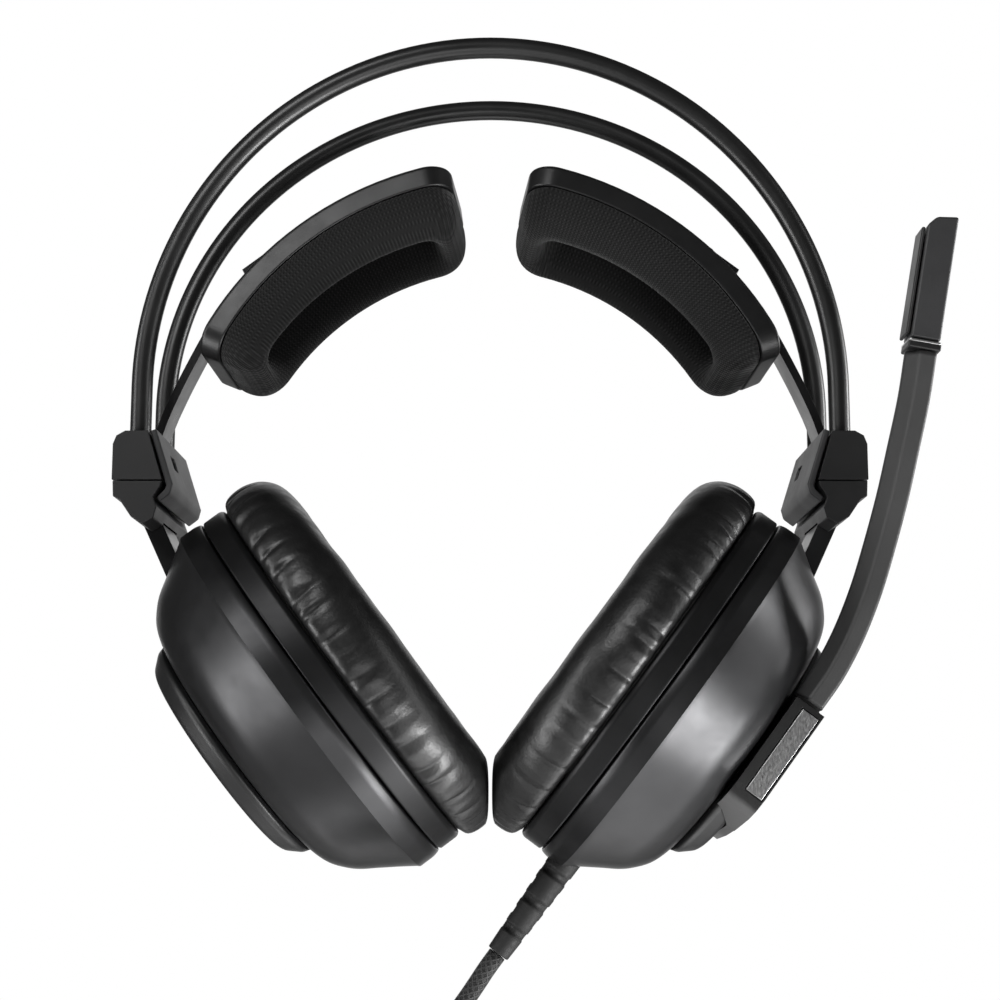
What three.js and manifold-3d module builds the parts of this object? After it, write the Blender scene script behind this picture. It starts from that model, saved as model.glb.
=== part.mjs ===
// Gaming headset: two steel hoops, two hubs with cup arms, two sprung head wings, two round
// ear cups with ring cushions, a turning boom microphone and a braided USB cord.
// Millimetres, +Z up. The origin is the centre of the hoops' arc, midway between the hoops.
// +X is the microphone side and -Y is the way the wearer looks.
import * as THREE from 'three';
import { mergeVertices } from 'three/addons/utils/BufferGeometryUtils.js';
import Module from 'manifold-3d';

const wasm = await Module();
wasm.setup();

// ---- Driving dimensions ----
const GAP = 0.3;

const HOOP_RADIUS = 85.9;
const HOOP_SPACING = 32;
const HOOP_SPREAD = 5.3;
const HOOP_TUBE_R = 2.6;
const HOOP_BORE_R = 1.7;
const HOOP_LEG_END = -21.5;

const HUB_HALF_DEPTH = 22.5;
const HUB_TOP = -12.3;
const HUB_SPLIT = -24.3;
const WING_PIN = { x: 83.4, z: -20.4, r: 1.5 };

const ARM_THICK = 4.4;
const ARM_HALF_DEPTH = 9;
const ARM_TOP = new THREE.Vector2(86.5, -27);
const TILT_PIN = new THREE.Vector2(76.1, -49.3);
const PIN_R = 1.5;
const PIN_BORE_R = 1.8;

const WING_ARC = { x: -2.4, z: -24.5, radius: 80.5 };
const WING_FROM = 23.5;
const WING_TO = 82;
const WING_WIDTH = 32;
const WING_TRAY_DEPTH = 5.8;
const WING_WALL = 1.8;
const WING_PAD_DEPTH = 16.4;
const WING_LEAN = 10;
const WING_ARM_HALF = 5.2;
const WING_PIVOT_AT = 47;
const WING_PIVOT_RISE = 4.2;

const CUP_CENTRE = new THREE.Vector3(42, 0, -72.6);
const CUP_LEAN = 36.6;
const CUP_R = 49.7;
const CUP_BAND = 6.2;
const RING_BASE = 25.5;
const RING_FACE = 31;
const BAFFLE_FACE = -6.2;
const CUSHION_BACK = -6.5;
const CUSHION_FACE = -22.2;
const CUSHION_R = 51.6;
const EAR_HOLE_R = 29;
const DRIVER_R = 25;

const FACET_Y = -34.6;
const FACET_FROM = -10;
const FACET_TO = 13.5;
const BASE_FACE = 33.5;
const BOOM_WIDE = 7.8;

const CORD_R = 2.25;
const RELIEF_TIP = 76;
const RELIEF_A = 6.5;
const COIL = { x: -18.6, z: -192.4, inner: 17.5, outer: 33, half: 11.3 };

const STEEL_BLACK = { color: 0x17171a, roughness: 0.32, metalness: 0.6 };
const SATIN_BLACK = { color: 0x2a2a2d, roughness: 0.42, metalness: 0.35 };
const MATTE_BLACK = { color: 0x222224, roughness: 0.7, metalness: 0 };
const GREY_PLASTIC = { color: 0x4a4a4d, roughness: 0.6, metalness: 0 };
const LEATHERETTE = { color: 0x141415, roughness: 0.4, metalness: 0 };
const MESH_FABRIC = { color: 0x151516, roughness: 0.95, metalness: 0 };
const SILVER = { color: 0xa9aaad, roughness: 0.35, metalness: 0.9 };
const STEEL = { color: 0x8c8f94, roughness: 0.35, metalness: 0.9 };
const RUBBER = { color: 0x161617, roughness: 0.85, metalness: 0 };
const BOARD_GREEN = { color: 0x1d4a2c, roughness: 0.6, metalness: 0 };
const MEMBRANE = { color: 0xb9b4a6, roughness: 0.5, metalness: 0 };

// ---- Solid helpers ----
function solidOf(source) {
  const bare = source.clone();
  bare.deleteAttribute('normal');
  bare.deleteAttribute('uv');
  const merged = mergeVertices(bare, 1e-4);
  const index = merged.index.array;
  const kept = [];
  for (let i = 0; i < index.length; i += 3) {
    const [a, b, c] = [index[i], index[i + 1], index[i + 2]];
    if (a !== b && b !== c && c !== a) kept.push(a, b, c);
  }
  const solid = new wasm.Manifold(new wasm.Mesh({
    numProp: 3,
    vertProperties: new Float32Array(merged.attributes.position.array),
    triVerts: new Uint32Array(kept),
  }));
  return solid;
}

function geometryOf(solid) {
  const mesh = solid.getMesh();
  const geometry = new THREE.BufferGeometry();
  const points = new Float32Array(mesh.vertProperties);
  geometry.setAttribute('position', new THREE.BufferAttribute(points, 3));
  geometry.setIndex(new THREE.BufferAttribute(new Uint32Array(mesh.triVerts), 1));
  geometry.computeVertexNormals();
  return geometry;
}

// A flat outline raised along +Z.
function slab(outline, from, to) {
  const shape = new THREE.Shape(outline.map(([x, y]) => new THREE.Vector2(x, y)));
  const body = new THREE.ExtrudeGeometry(shape, { depth: to - from, bevelEnabled: false });
  return solidOf(body.translate(0, 0, from));
}

// An outline in the XZ plane, running along Y.
function alongY(outline, from, to) {
  const shape = new THREE.Shape(outline.map(([x, z]) => new THREE.Vector2(x, z)));
  const body = new THREE.ExtrudeGeometry(shape, { depth: to - from, bevelEnabled: false });
  return solidOf(body.rotateX(Math.PI / 2).translate(0, to, 0));
}

// An outline given as (y, z) pairs, running along X.
function alongX(outline, from, to) {
  const shape = new THREE.Shape(outline.map(([y, z]) => new THREE.Vector2(y, z)));
  const body = new THREE.ExtrudeGeometry(shape, { depth: to - from, bevelEnabled: false });
  const turn = new THREE.Matrix4().makeBasis(
    new THREE.Vector3(0, 1, 0), new THREE.Vector3(0, 0, 1), new THREE.Vector3(1, 0, 0));
  return solidOf(body.applyMatrix4(turn).translate(from, 0, 0));
}

// A profile of (radius, height) points turned about +Z, closed on itself or ending on the axis.
function turned(profile, segments = 32) {
  let area = 0;
  for (let i = 0; i < profile.length; i++) {
    const [r0, z0] = profile[i];
    const [r1, z1] = profile[(i + 1) % profile.length];
    area += r0 * z1 - r1 * z0;
  }
  const ordered = area > 0 ? [...profile] : [...profile].reverse();
  const onAxis = ordered.some(([r]) => r === 0);
  if (onAxis) {
    while (!(ordered[0][0] === 0 && ordered[ordered.length - 1][0] === 0)) {
      ordered.push(ordered.shift());
    }
  } else {
    ordered.push(ordered[0]);
  }
  const points = ordered.map(([r, z]) => new THREE.Vector2(r, z));
  return solidOf(new THREE.LatheGeometry(points, segments).rotateX(Math.PI / 2));
}

function rod(radius, from, to, segments = 16) {
  const body = new THREE.CylinderGeometry(radius, radius, to - from, segments);
  return solidOf(body.rotateX(Math.PI / 2).translate(0, 0, (from + to) / 2));
}

function rodY(x, z, radius, from, to, segments = 16) {
  const body = new THREE.CylinderGeometry(radius, radius, to - from, segments);
  return solidOf(body.translate(x, (from + to) / 2, z));
}

function rodX(y, z, radius, from, to, segments = 16) {
  const body = new THREE.CylinderGeometry(radius, radius, to - from, segments);
  return solidOf(body.rotateZ(Math.PI / 2).translate((from + to) / 2, y, z));
}

function block(x0, x1, y0, y1, z0, z1) {
  const body = new THREE.BoxGeometry(x1 - x0, y1 - y0, z1 - z0);
  return solidOf(body.translate((x0 + x1) / 2, (y0 + y1) / 2, (z0 + z1) / 2));
}

// A round tube, or a rod when there is no bore, that follows a curve.
function tubeAlong(curve, radius, sides, steps, bore = 0) {
  const ring = (r) => Array.from({ length: sides }, (_, i) => {
    const angle = (2 * Math.PI * (i + 0.5)) / sides;
    return new THREE.Vector2(r * Math.cos(angle), r * Math.sin(angle));
  });
  const shape = new THREE.Shape(ring(radius));
  if (bore > 0) shape.holes.push(new THREE.Path(ring(bore)));
  return solidOf(new THREE.ExtrudeGeometry(shape, { steps, extrudePath: curve }));
}

// A closed skin through a row of rings that all have the same number of points.
function lofted(rings) {
  const count = rings[0].length;
  const points = rings.flat().flatMap((p) => [p.x, p.y, p.z]);
  const index = [];
  for (let i = 0; i + 1 < rings.length; i++) {
    for (let j = 0; j < count; j++) {
      const a = i * count + j;
      const b = i * count + ((j + 1) % count);
      index.push(a, a + count, b, b, a + count, b + count);
    }
  }
  const last = (rings.length - 1) * count;
  for (let j = 1; j + 1 < count; j++) {
    index.push(0, j, j + 1);
    index.push(last, last + j + 1, last + j);
  }
  const body = new THREE.BufferGeometry();
  body.setAttribute('position', new THREE.Float32BufferAttribute(points, 3));
  body.setIndex(index);
  return solidOf(body);
}

function mesh(name, solid, look) {
  const made = new THREE.Mesh(geometryOf(solid), new THREE.MeshStandardMaterial(look));
  made.name = name;
  return made;
}

const degrees = THREE.MathUtils.degToRad;

// ---- Hoops ----
// The hoops stand HOOP_SPACING apart in the hubs and lean apart towards the top.
function hoopCurve(way) {
  const path = new THREE.CurvePath();
  const y = (way * HOOP_SPACING) / 2;
  const leg = (x, from, to) => new THREE.LineCurve3(
    new THREE.Vector3(x, y, from), new THREE.Vector3(x, y, to));
  const points = [];
  for (let i = 0; i <= 24; i++) {
    const angle = (Math.PI * i) / 24;
    const out = way * HOOP_SPREAD * Math.sin(angle) ** 2;
    points.push(new THREE.Vector3(
      -HOOP_RADIUS * Math.cos(angle), y + out, HOOP_RADIUS * Math.sin(angle)));
  }
  path.add(leg(-HOOP_RADIUS, HOOP_LEG_END, 0));
  path.add(new THREE.CatmullRomCurve3(points));
  path.add(leg(HOOP_RADIUS, 0, HOOP_LEG_END));
  return path;
}

function addHoops(root) {
  const front = hoopCurve(-1);
  root.add(mesh('front_hoop', tubeAlong(front, HOOP_TUBE_R, 10, 28, HOOP_BORE_R), STEEL_BLACK));
  root.add(mesh('rear_hoop', tubeAlong(hoopCurve(1), HOOP_TUBE_R, 10, 28), STEEL_BLACK));
  root.add(mesh('crossover_wire', tubeAlong(front, 0.8, 5, 28), RUBBER));
}

// ---- Hub at the foot of the hoops ----
function hubHousing() {
  const outline = [
    [91.3, HUB_SPLIT], [91.3, -15.6], [90.5, -13.5], [88.4, HUB_TOP], [82.95, HUB_TOP],
    [79.25, HUB_SPLIT],
  ];
  const pocket = [[78, -24.8], [87.2, -24.8], [87.2, -18], [88, -12], [80, -12]];
  let body = alongY(outline, -HUB_HALF_DEPTH, HUB_HALF_DEPTH);
  for (const side of [-1, 1]) {
    const socket = rod(3.05, -22, 0, 16);
    body = body.subtract(socket.translate([HOOP_RADIUS, (side * HOOP_SPACING) / 2, 0]));
  }
  body = body.subtract(alongY(pocket, -6, 6));
  return body.subtract(rodY(WING_PIN.x, WING_PIN.z, PIN_BORE_R, -13, 13));
}

function hubBase() {
  const outline = [
    [91.1, -24.6], [90.9, -28.4], [89.3, -29.2], [86.4, -33.4], [83.6, -35.2],
    [81, -33.6], [80.3, -31], [81.2, -28.6], [79.6, -25.9], [79.3, -24.6],
  ];
  const slot = armOutline(ARM_THICK / 2 + GAP, 2);
  return alongY(outline, -HUB_HALF_DEPTH, HUB_HALF_DEPTH)
    .subtract(alongY(slot, -ARM_HALF_DEPTH - GAP, ARM_HALF_DEPTH + GAP));
}

function hubCover() {
  const outline = [
    [81.1, -11.6], [76.7, -25.2], [77.3, -27.6], [79.9, -29.6], [80.6, -28.4],
    [78.6, -26.4], [78.4, -25.4], [82.6, -12.1],
  ];
  return alongY(outline, -HUB_HALF_DEPTH + 1, HUB_HALF_DEPTH - 1)
    .subtract(block(70, 90, 3.5, 9.5, -19.4, -16.2));
}

// ---- Arm from the hub down to the cup ----
function armOutline(half, extra) {
  const along = TILT_PIN.clone().sub(ARM_TOP).normalize();
  const across = new THREE.Vector2(-along.y, along.x);
  const top = ARM_TOP.clone().addScaledVector(along, -extra);
  const corner = (p, s) => p.clone().addScaledVector(across, s * half).toArray();
  return [corner(top, 1), corner(top, -1), corner(TILT_PIN, -1), corner(TILT_PIN, 1)];
}

function cupArm() {
  const reach = ARM_HALF_DEPTH;
  return alongY(armOutline(ARM_THICK / 2, 0), -reach, reach)
    .add(rodY(TILT_PIN.x, TILT_PIN.y, 3.4, -reach, reach, 20))
    .subtract(rodY(TILT_PIN.x, TILT_PIN.y, PIN_BORE_R, -20, 20));
}

// ---- Head wing ----
const wingPoint = (angle, height, y = 0) => new THREE.Vector3(
  WING_ARC.x + (WING_ARC.radius + height) * Math.cos(degrees(angle)),
  y,
  WING_ARC.z + (WING_ARC.radius + height) * Math.sin(degrees(angle)));

const wingTangent = () => {
  const middle = degrees((WING_FROM + WING_TO) / 2);
  return new THREE.Vector3(-Math.sin(middle), 0, Math.cos(middle));
};

// A bent pill: rounded in plan, flat or crowned in section, that follows the wing's arc.
function bentPill({ inset, top, bottom, corner, crown, length = 1, steps = 14 }) {
  const radius = WING_ARC.radius;
  const middle = degrees((WING_FROM + WING_TO) / 2);
  const span = (radius * degrees(WING_TO - WING_FROM) * length) / 2 - inset;
  const halfWide = WING_WIDTH / 2 - inset;
  const rings = [];
  for (let i = 0; i <= steps; i++) {
    const s = -span * Math.cos((Math.PI * i) / steps);
    const past = Math.max(0, Math.abs(s) - (span - corner));
    const narrow = corner - Math.sqrt(Math.max(0, corner * corner - past * past));
    const half = Math.max(halfWide - narrow, halfWide - corner + 0.6);
    const angle = THREE.MathUtils.radToDeg(middle + s / radius);
    const drop = crown * (1 - narrow / corner);
    const low = bottom + (crown ? crown - drop : 0);
    const section = [
      [-half, top], [-half, low + crown], [-half + 0.3 * crown, low + 0.35 * crown],
      [-half + crown, low], [half - crown, low], [half - 0.3 * crown, low + 0.35 * crown],
      [half, low + crown], [half, top],
    ];
    const outline = crown ? section : [[-half, top], [-half, low], [half, low], [half, top]];
    rings.push(outline.map(([y, h]) => wingPoint(angle, h, y)));
  }
  return lofted(rings);
}

function wingTray() {
  const outer = bentPill({ inset: 0, top: 0, bottom: -WING_TRAY_DEPTH, corner: 7, crown: 0 });
  const inner = bentPill({
    inset: WING_WALL, top: -WING_WALL, bottom: -WING_TRAY_DEPTH - 1, corner: 5, crown: 0,
  });
  const body = outer.subtract(inner);
  return body.add(pivotFrame(wingBarrel()))
    .subtract(pivotFrame(rodX(0, 0, 1.5, -20, 20, 10)));
}

function wingPad() {
  const inset = WING_WALL + GAP;
  const root = bentPill({
    inset, top: -inset, bottom: -WING_TRAY_DEPTH - 2, corner: 4.7, crown: 0,
  });
  const foam = bentPill({
    inset: 0.2, top: -WING_TRAY_DEPTH - GAP, bottom: -WING_PAD_DEPTH, corner: 7.5, crown: 3,
  });
  const slot = bentPill({
    inset: 8.6, top: 2, bottom: -WING_PAD_DEPTH - 4, corner: 6, crown: 0, steps: 12,
  });
  return root.add(foam).subtract(slot);
}

// The barrel on the back of the tray, in a frame whose X runs along the pivot pin.
function wingBarrel() {
  const foot = -WING_PIVOT_RISE - 1;
  const outline = [[-3, foot], [3, foot], [3, 1.5], [1.5, 3], [-1.5, 3], [-3, 1.5]];
  return alongX(outline, -0.6, 9);
}

// Places a solid whose origin is the pivot, X along the pin and Z away from the head.
function pivotFrame(solid) {
  const x = wingTangent();
  const z = new THREE.Vector3(x.z, 0, -x.x);
  const y = new THREE.Vector3().crossVectors(z, x);
  const place = new THREE.Matrix4().makeBasis(x, y, z);
  place.setPosition(wingPoint(WING_PIVOT_AT, WING_PIVOT_RISE));
  return solid.transform(place.elements);
}

function wingArm() {
  const pivot = wingPoint(WING_PIVOT_AT, WING_PIVOT_RISE);
  const tangent = wingTangent();
  const centre = [
    [WING_PIN.x, WING_PIN.z], [84.1, -13], [82.4, -6.5], [79.9, -0.3], [77.2, 5.6],
    ...[26, 30, 34, 38].map((angle) => {
      const p = wingPoint(angle, WING_PIVOT_RISE);
      return [p.x, p.z];
    }),
    [pivot.x - tangent.x * 6, pivot.z - tangent.z * 6],
  ].map(([x, z]) => new THREE.Vector2(x, z));
  const curve = new THREE.SplineCurve(centre);
  const samples = curve.getPoints(18);
  const sideOf = (s) => samples.map((p, i) => {
    const before = samples[Math.max(0, i - 1)];
    const after = samples[Math.min(samples.length - 1, i + 1)];
    const along = after.clone().sub(before).normalize();
    return [p.x + s * along.y, p.y - s * along.x];
  });
  return alongY([...sideOf(1), ...sideOf(-1).reverse()], -WING_ARM_HALF, WING_ARM_HALF)
    .add(rodY(WING_PIN.x, WING_PIN.z, 2.9, -WING_ARM_HALF, WING_ARM_HALF, 16))
    .add(pivotFrame(block(-9, -1.2, -2.8, 2.8, -2.2, 2.2)))
    .subtract(rodY(WING_PIN.x, WING_PIN.z, PIN_BORE_R, -20, 20))
    .subtract(pivotFrame(rodX(0, 0, 1.5, -7.6, 20, 10)));
}

// ---- Ear cup: local X is the wearer's rear, Y up along the cup, Z outwards ----
function cupFrame() {
  const lean = degrees(CUP_LEAN);
  const up = new THREE.Vector3(Math.sin(lean), 0, Math.cos(lean));
  const out = new THREE.Vector3(Math.cos(lean), 0, -Math.sin(lean));
  return new THREE.Matrix4().makeBasis(new THREE.Vector3(0, 1, 0), up, out)
    .setPosition(CUP_CENTRE);
}

// The tilt pin's place in the cup's own frame, as (up, out).
function tiltPinInCup() {
  const pin = new THREE.Vector3(TILT_PIN.x, 0, TILT_PIN.y);
  const local = pin.applyMatrix4(cupFrame().invert());
  return new THREE.Vector2(local.y, local.z);
}

function shellOuter() {
  return [
    [CUP_R, GAP], [CUP_R + 0.5, 3], [CUP_R + 0.5, CUP_BAND], [47.4, 10.3], [44.5, 14.7],
    [42.1, 18.4], [39.7, 21], [36.5, 23.4], [32.4, 24.8], [28, 25.2], [0, 25.2], [0, GAP],
  ];
}

function shellCavity() {
  return [
    [47.3, -1], [47.3, 5.4], [44.8, 9], [42, 13.4], [39.6, 16.9], [37.4, 19.3],
    [34.6, 21.4], [31.6, 22.5], [28, 22.8], [0, 22.8], [0, -1],
  ];
}

function earShell(withCord) {
  const outer = turned(shellOuter(), 30);
  const pin = tiltPinInCup();
  const boss = block(-13, 13, 33.2, 48, 3.6, 23).intersect(outer);
  let body = outer.subtract(turned(shellCavity(), 30)).add(boss);
  body = body.subtract(alongX(tiltPocket(pin), -9.8, 9.8));
  body = body.subtract(rodX(pin.x, pin.y, 4.1, -9.8, 9.8, 20));
  body = body.subtract(rodX(pin.x, pin.y, PIN_BORE_R, -13.4, 13.4));
  if (withCord) {
    const outlet = new THREE.CylinderGeometry(4.2, 4.2, 20, 16).translate(0, -48, RELIEF_A);
    body = body.subtract(solidOf(outlet));
    body = body.subtract(rod(4.4, 20, 30, 16));
  }
  return body;
}

// The wedge that lets the arm swing as the cup tilts.
function tiltPocket(pin) {
  const reach = 16;
  const half = ARM_THICK / 2 + 0.6;
  const edge = (lean, side, s) => {
    const angle = degrees(lean);
    return [
      pin.x + s * Math.cos(angle) - side * half * Math.sin(angle),
      pin.y + s * Math.sin(angle) + side * half * Math.cos(angle),
    ];
  };
  return [edge(-12.5, -1, 0), edge(-12.5, -1, reach), edge(11.5, 1, reach), edge(11.5, 1, 0)];
}

function outerRing() {
  return turned([
    [31, RING_BASE], [30.4, 27.2], [27.6, 30.5], [26.7, RING_FACE], [21.4, RING_FACE],
    [20.6, 30.3], [20.6, RING_BASE],
  ], 28);
}

function ringCap() {
  return turned([
    [0, RING_BASE], [20.2, RING_BASE], [20.2, 29], [18.6, 29.8], [0, 30.2],
  ], 32);
}

function baffle() {
  return turned([
    [DRIVER_R + 0.5, -3.4], [43.8, -3.4], [45.6, BAFFLE_FACE], [48.9, BAFFLE_FACE],
    [49.5, -5.5], [49.5, 0], [DRIVER_R + 0.5, 0],
  ], 28);
}

function driverFrame() {
  return turned([
    [DRIVER_R, -3], [DRIVER_R, 0.8], [20, 4.6], [13.4, 5.6], [13.4, 4.4], [19.4, 3.2],
    [23.6, 0], [23.6, -3],
  ], 20);
}

const driverMagnet = () => turned([[0, 3.2], [12.9, 3.2], [12.9, 9.4], [12, 10], [0, 10]], 16);

function diaphragm() {
  return turned([
    [0, -1.8], [12, -0.8], [17, -1.8], [23, -1.8], [23, -1.3], [17, -1.3], [12, -0.3],
    [0, -1.3],
  ], 20);
}

const earCloth = () => turned([[0, -5.9], [43.4, -5.9], [43.4, -3.8], [0, -3.8]], 24);

function earCushion() {
  const ring = turned([
    [EAR_HOLE_R + 1, CUSHION_BACK], [48.8, CUSHION_BACK], [51, -8.8], [CUSHION_R, -12],
    [51, -15.5], [49, -18.5], [45.5, -21], [41, CUSHION_FACE], [36, CUSHION_FACE],
    [32.5, -21], [30, -18], [EAR_HOLE_R, -13.5], [EAR_HOLE_R + 0.3, -9],
  ], 32);
  const middle = block(-200, GAP, -200, 200, -300, 100);
  return ring.subtract(middle.transform(cupFrame().invert().elements));
}

function tiltPin() {
  const pin = tiltPinInCup();
  return rodX(pin.x, pin.y, PIN_R, -12.6, 12.6);
}

// ---- Boom microphone, in the cup's frame ----
function boomBase() {
  const outline = [[-8, 20.4], [0, 22], [8, 20.4], [15.6, 15.6], [20.4, 8], [22, 0],
    [20.4, -8], [15.6, -15.6], [8, -20.4], [0, -22], [-12, -20.6], [-22, -18.4],
    [-30, -15.6], [-33, -13.4], [FACET_Y, FACET_FROM], [FACET_Y, FACET_TO],
    [-25.4, FACET_TO], [-20, 16]];
  const plate = slab(outline, RING_FACE + GAP, BASE_FACE);
  const dome = turned([
    [0, BASE_FACE - 1], [19.4, BASE_FACE - 1], [16, 34.2], [10, 35], [0, 35.3],
  ], 24);
  const claw = slab([[FACET_Y, -10], [FACET_Y, FACET_TO], [-20, FACET_TO], [-20, -19.1],
    [-22, -18.4], [-30, -15.6], [-33, -13.4]], 25.8, BASE_FACE);
  const clearance = turned([
    [0, 20], [31.8, 20], [31.8, 25.8], [30.9, 27.6], [28.1, 30.9], [27, RING_FACE + GAP],
    [0, RING_FACE + GAP],
  ], 32);
  const spindle = rod(4, 19, 33);
  const recess = block(FACET_Y - 1, FACET_Y + 0.6, -10.9, 12.3, 28.2, 33.1);
  return plate.add(dome).add(claw.subtract(clearance)).add(spindle).subtract(recess);
}

const boomPlate = () => block(FACET_Y - 0.2, FACET_Y + 0.3, -10.6, 12, 28.5, 32.8);

const BOOM_PATH = [[14.4, 29.2], [23, 29.1], [32.2, 27.9], [41.7, 25.7], [51, 22.8],
  [64.9, 17.8], [76.6, 13], [88.2, 8.1], [98.4, 3.1]];

function boomCurve() {
  return new THREE.SplineCurve(BOOM_PATH.map(([y, z]) => new THREE.Vector2(y, z)));
}

const BOOM_Y = FACET_Y + BOOM_WIDE / 2;

// The stalk's section, (x, outwards): a narrow front face and a broad slope on the head's side.
const BOOM_SECTION = [[-0.4, -3.9], [1.2, -3.9], [3.5, -1.6], [3.5, 2.3], [2.8, 3.1],
  [-3.3, 3.1], [-3.9, 2.6], [-3.9, -1]];

function boom() {
  const samples = boomCurve().getPoints(20);
  const rings = samples.map((p, i) => {
    const before = samples[Math.max(0, i - 1)];
    const after = samples[Math.min(samples.length - 1, i + 1)];
    const along = after.clone().sub(before).normalize();
    return BOOM_SECTION.map(([x, out]) => new THREE.Vector3(
      BOOM_Y + x, p.x - out * along.y, p.y + out * along.x));
  });
  return lofted(rings);
}

// The capsule's frame: X across the boom, Y along it from the boom's tip, Z outwards.
function capsulePlace() {
  const curve = boomCurve();
  const tip = curve.getPoint(1);
  const along = curve.getTangent(1);
  const y = new THREE.Vector3(0, along.x, along.y);
  const x = new THREE.Vector3(1, 0, 0);
  const z = new THREE.Vector3().crossVectors(x, y);
  return new THREE.Matrix4().makeBasis(x, y, z)
    .setPosition(BOOM_Y, tip.x, tip.y);
}

const onCapsule = (solid) => solid.transform(capsulePlace().elements);

const micCollar = () => onCapsule(block(-4.3, 4.6, 0.4, 2.6, -4.1, 3.7));

function micHousing() {
  const outline = [[2.9, -3.8], [31, -3.8], [33.4, -1.8], [34.2, 3.4], [2.9, 3.4]];
  const body = alongX(outline, -4, 4.6);
  return onCapsule(body.subtract(block(-2.6, 3.2, 7, 28, -5, -1)));
}

const micElement = () => onCapsule(rod(2.4, -2.9, -1.3, 16).translate([0.3, 16, 0]));

const micCover = () => onCapsule(block(-3.6, 4.2, 3.6, 30.4, -5, -4.1));

// ---- Cord ----
function reliefTaper() {
  const profile = [[0, 40.6], [5.2, 40.6], [5.2, 42.8], [3.8, 42.8], [3.8, 58], [3.6, 68],
    [2.9, RELIEF_TIP], [0, RELIEF_TIP]];
  const body = turned(profile, 14);
  const place = new THREE.Matrix4().makeRotationX(Math.PI / 2);
  place.setPosition(0, 0, RELIEF_A);
  return body.transform(place.elements);
}

// Where a point of the right cup's frame lies in the headset's frame.
const fromCup = (x, y, z) => new THREE.Vector3(x, y, z).applyMatrix4(cupFrame());

function cordLead() {
  const start = fromCup(0, -RELIEF_TIP - GAP, RELIEF_A);
  const next = fromCup(0, -RELIEF_TIP - 5, RELIEF_A);
  const curve = new THREE.CatmullRomCurve3([
    start, next,
    new THREE.Vector3(-4.6, 0, -146.8), new THREE.Vector3(-8.2, 0, -152),
    new THREE.Vector3(-11, 0, -156.4),
  ]);
  return tubeAlong(curve, CORD_R, 8, 10);
}

function cordCoil() {
  const { inner, outer, half } = COIL;
  const ring = turned([
    [inner, -half + 2], [inner + 2, -half], [outer - 2, -half], [outer, -half + 2],
    [outer, half - 2], [outer - 2, half], [inner + 2, half], [inner, half - 2],
  ], 32);
  return ring.rotate([90, 0, 0]).translate([COIL.x, 0, COIL.z]);
}

function cordTie() {
  const { inner, outer, half } = COIL;
  const [low, high] = [COIL.z + inner - 1.8, COIL.z + outer + 1.4];
  const { x } = COIL;
  const band = block(x - 3, x + 3, -half - 1.4, half + 1.4, low, high);
  const hole = block(x - 5, x + 5, -half - GAP, half + GAP, low + 1, high - 1);
  return band.subtract(hole);
}

const PLUG_X = COIL.x - 24;
const PLUG_Y = -16;

function cordTail() {
  const curve = new THREE.LineCurve3(
    new THREE.Vector3(PLUG_X, -13.9, COIL.z - 2), new THREE.Vector3(PLUG_X, PLUG_Y, COIL.z - 22));
  return tubeAlong(curve, CORD_R, 8, 3);
}

function usbPlugBody() {
  const outline = [[-4, 0], [4, 0], [5.4, -4], [8, -10], [8, -32], [-8, -32], [-8, -10],
    [-5.4, -4]];
  return alongY(outline, -4, 4).translate([PLUG_X, PLUG_Y, COIL.z - 22.6]);
}

function usbPlugShell() {
  const top = COIL.z - 22.6 - 32 - GAP;
  const outer = block(-6, 6, -2.25, 2.25, -12, 0);
  const hollow = block(-5.6, 5.6, -1.85, 0.2, -13, -1);
  return outer.subtract(hollow).translate([PLUG_X, PLUG_Y, top]);
}

// ---- Assembly ----
function addHub(side, name) {
  side.add(mesh(`${name}_hub_housing`, hubHousing(), MATTE_BLACK));
  side.add(mesh(`${name}_hub_base`, hubBase(), MATTE_BLACK));
  side.add(mesh(`${name}_hub_cover`, hubCover(), GREY_PLASTIC));
  side.add(mesh(`${name}_cup_arm`, cupArm(), SATIN_BLACK));
  side.add(mesh(`${name}_wing_pin`,
    rodY(WING_PIN.x, WING_PIN.z, WING_PIN.r, -12.4, 12.4), STEEL));
}

function addWing(side, name, lean) {
  side.add(mesh(`${name}_wing_arm`, wingArm(), SATIN_BLACK));
  side.add(mesh(`${name}_wing_pivot`, pivotFrame(rodX(0, 0, 1.15, -7.2, 8.6, 10)), STEEL));
  const pivot = wingPoint(WING_PIVOT_AT, WING_PIVOT_RISE);
  const swung = new THREE.Group();
  swung.position.copy(pivot);
  swung.quaternion.setFromAxisAngle(wingTangent(), degrees(lean));
  const inner = new THREE.Group();
  inner.position.copy(pivot).negate();
  inner.add(mesh(`${name}_wing_tray`, wingTray(), SATIN_BLACK));
  inner.add(mesh(`${name}_wing_pad`, wingPad(), MESH_FABRIC));
  swung.add(inner);
  side.add(swung);
}

function addCup(side, name, withCord) {
  const cup = new THREE.Group();
  cup.applyMatrix4(cupFrame());
  cup.add(mesh(`${name}_ear_shell`, earShell(withCord), SATIN_BLACK));
  cup.add(mesh(`${name}_outer_ring`, outerRing(), SATIN_BLACK));
  cup.add(mesh(`${name}_baffle`, baffle(), MATTE_BLACK));
  cup.add(mesh(`${name}_driver_frame`, driverFrame(), GREY_PLASTIC));
  cup.add(mesh(`${name}_driver_magnet`, driverMagnet(), STEEL));
  cup.add(mesh(`${name}_diaphragm`, diaphragm(), MEMBRANE));
  cup.add(mesh(`${name}_ear_cloth`, earCloth(), MESH_FABRIC));
  cup.add(mesh(`${name}_ear_cushion`, earCushion(), LEATHERETTE));
  cup.add(mesh(`${name}_tilt_pin`, tiltPin(), STEEL));
  side.add(cup);
  return cup;
}

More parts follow.
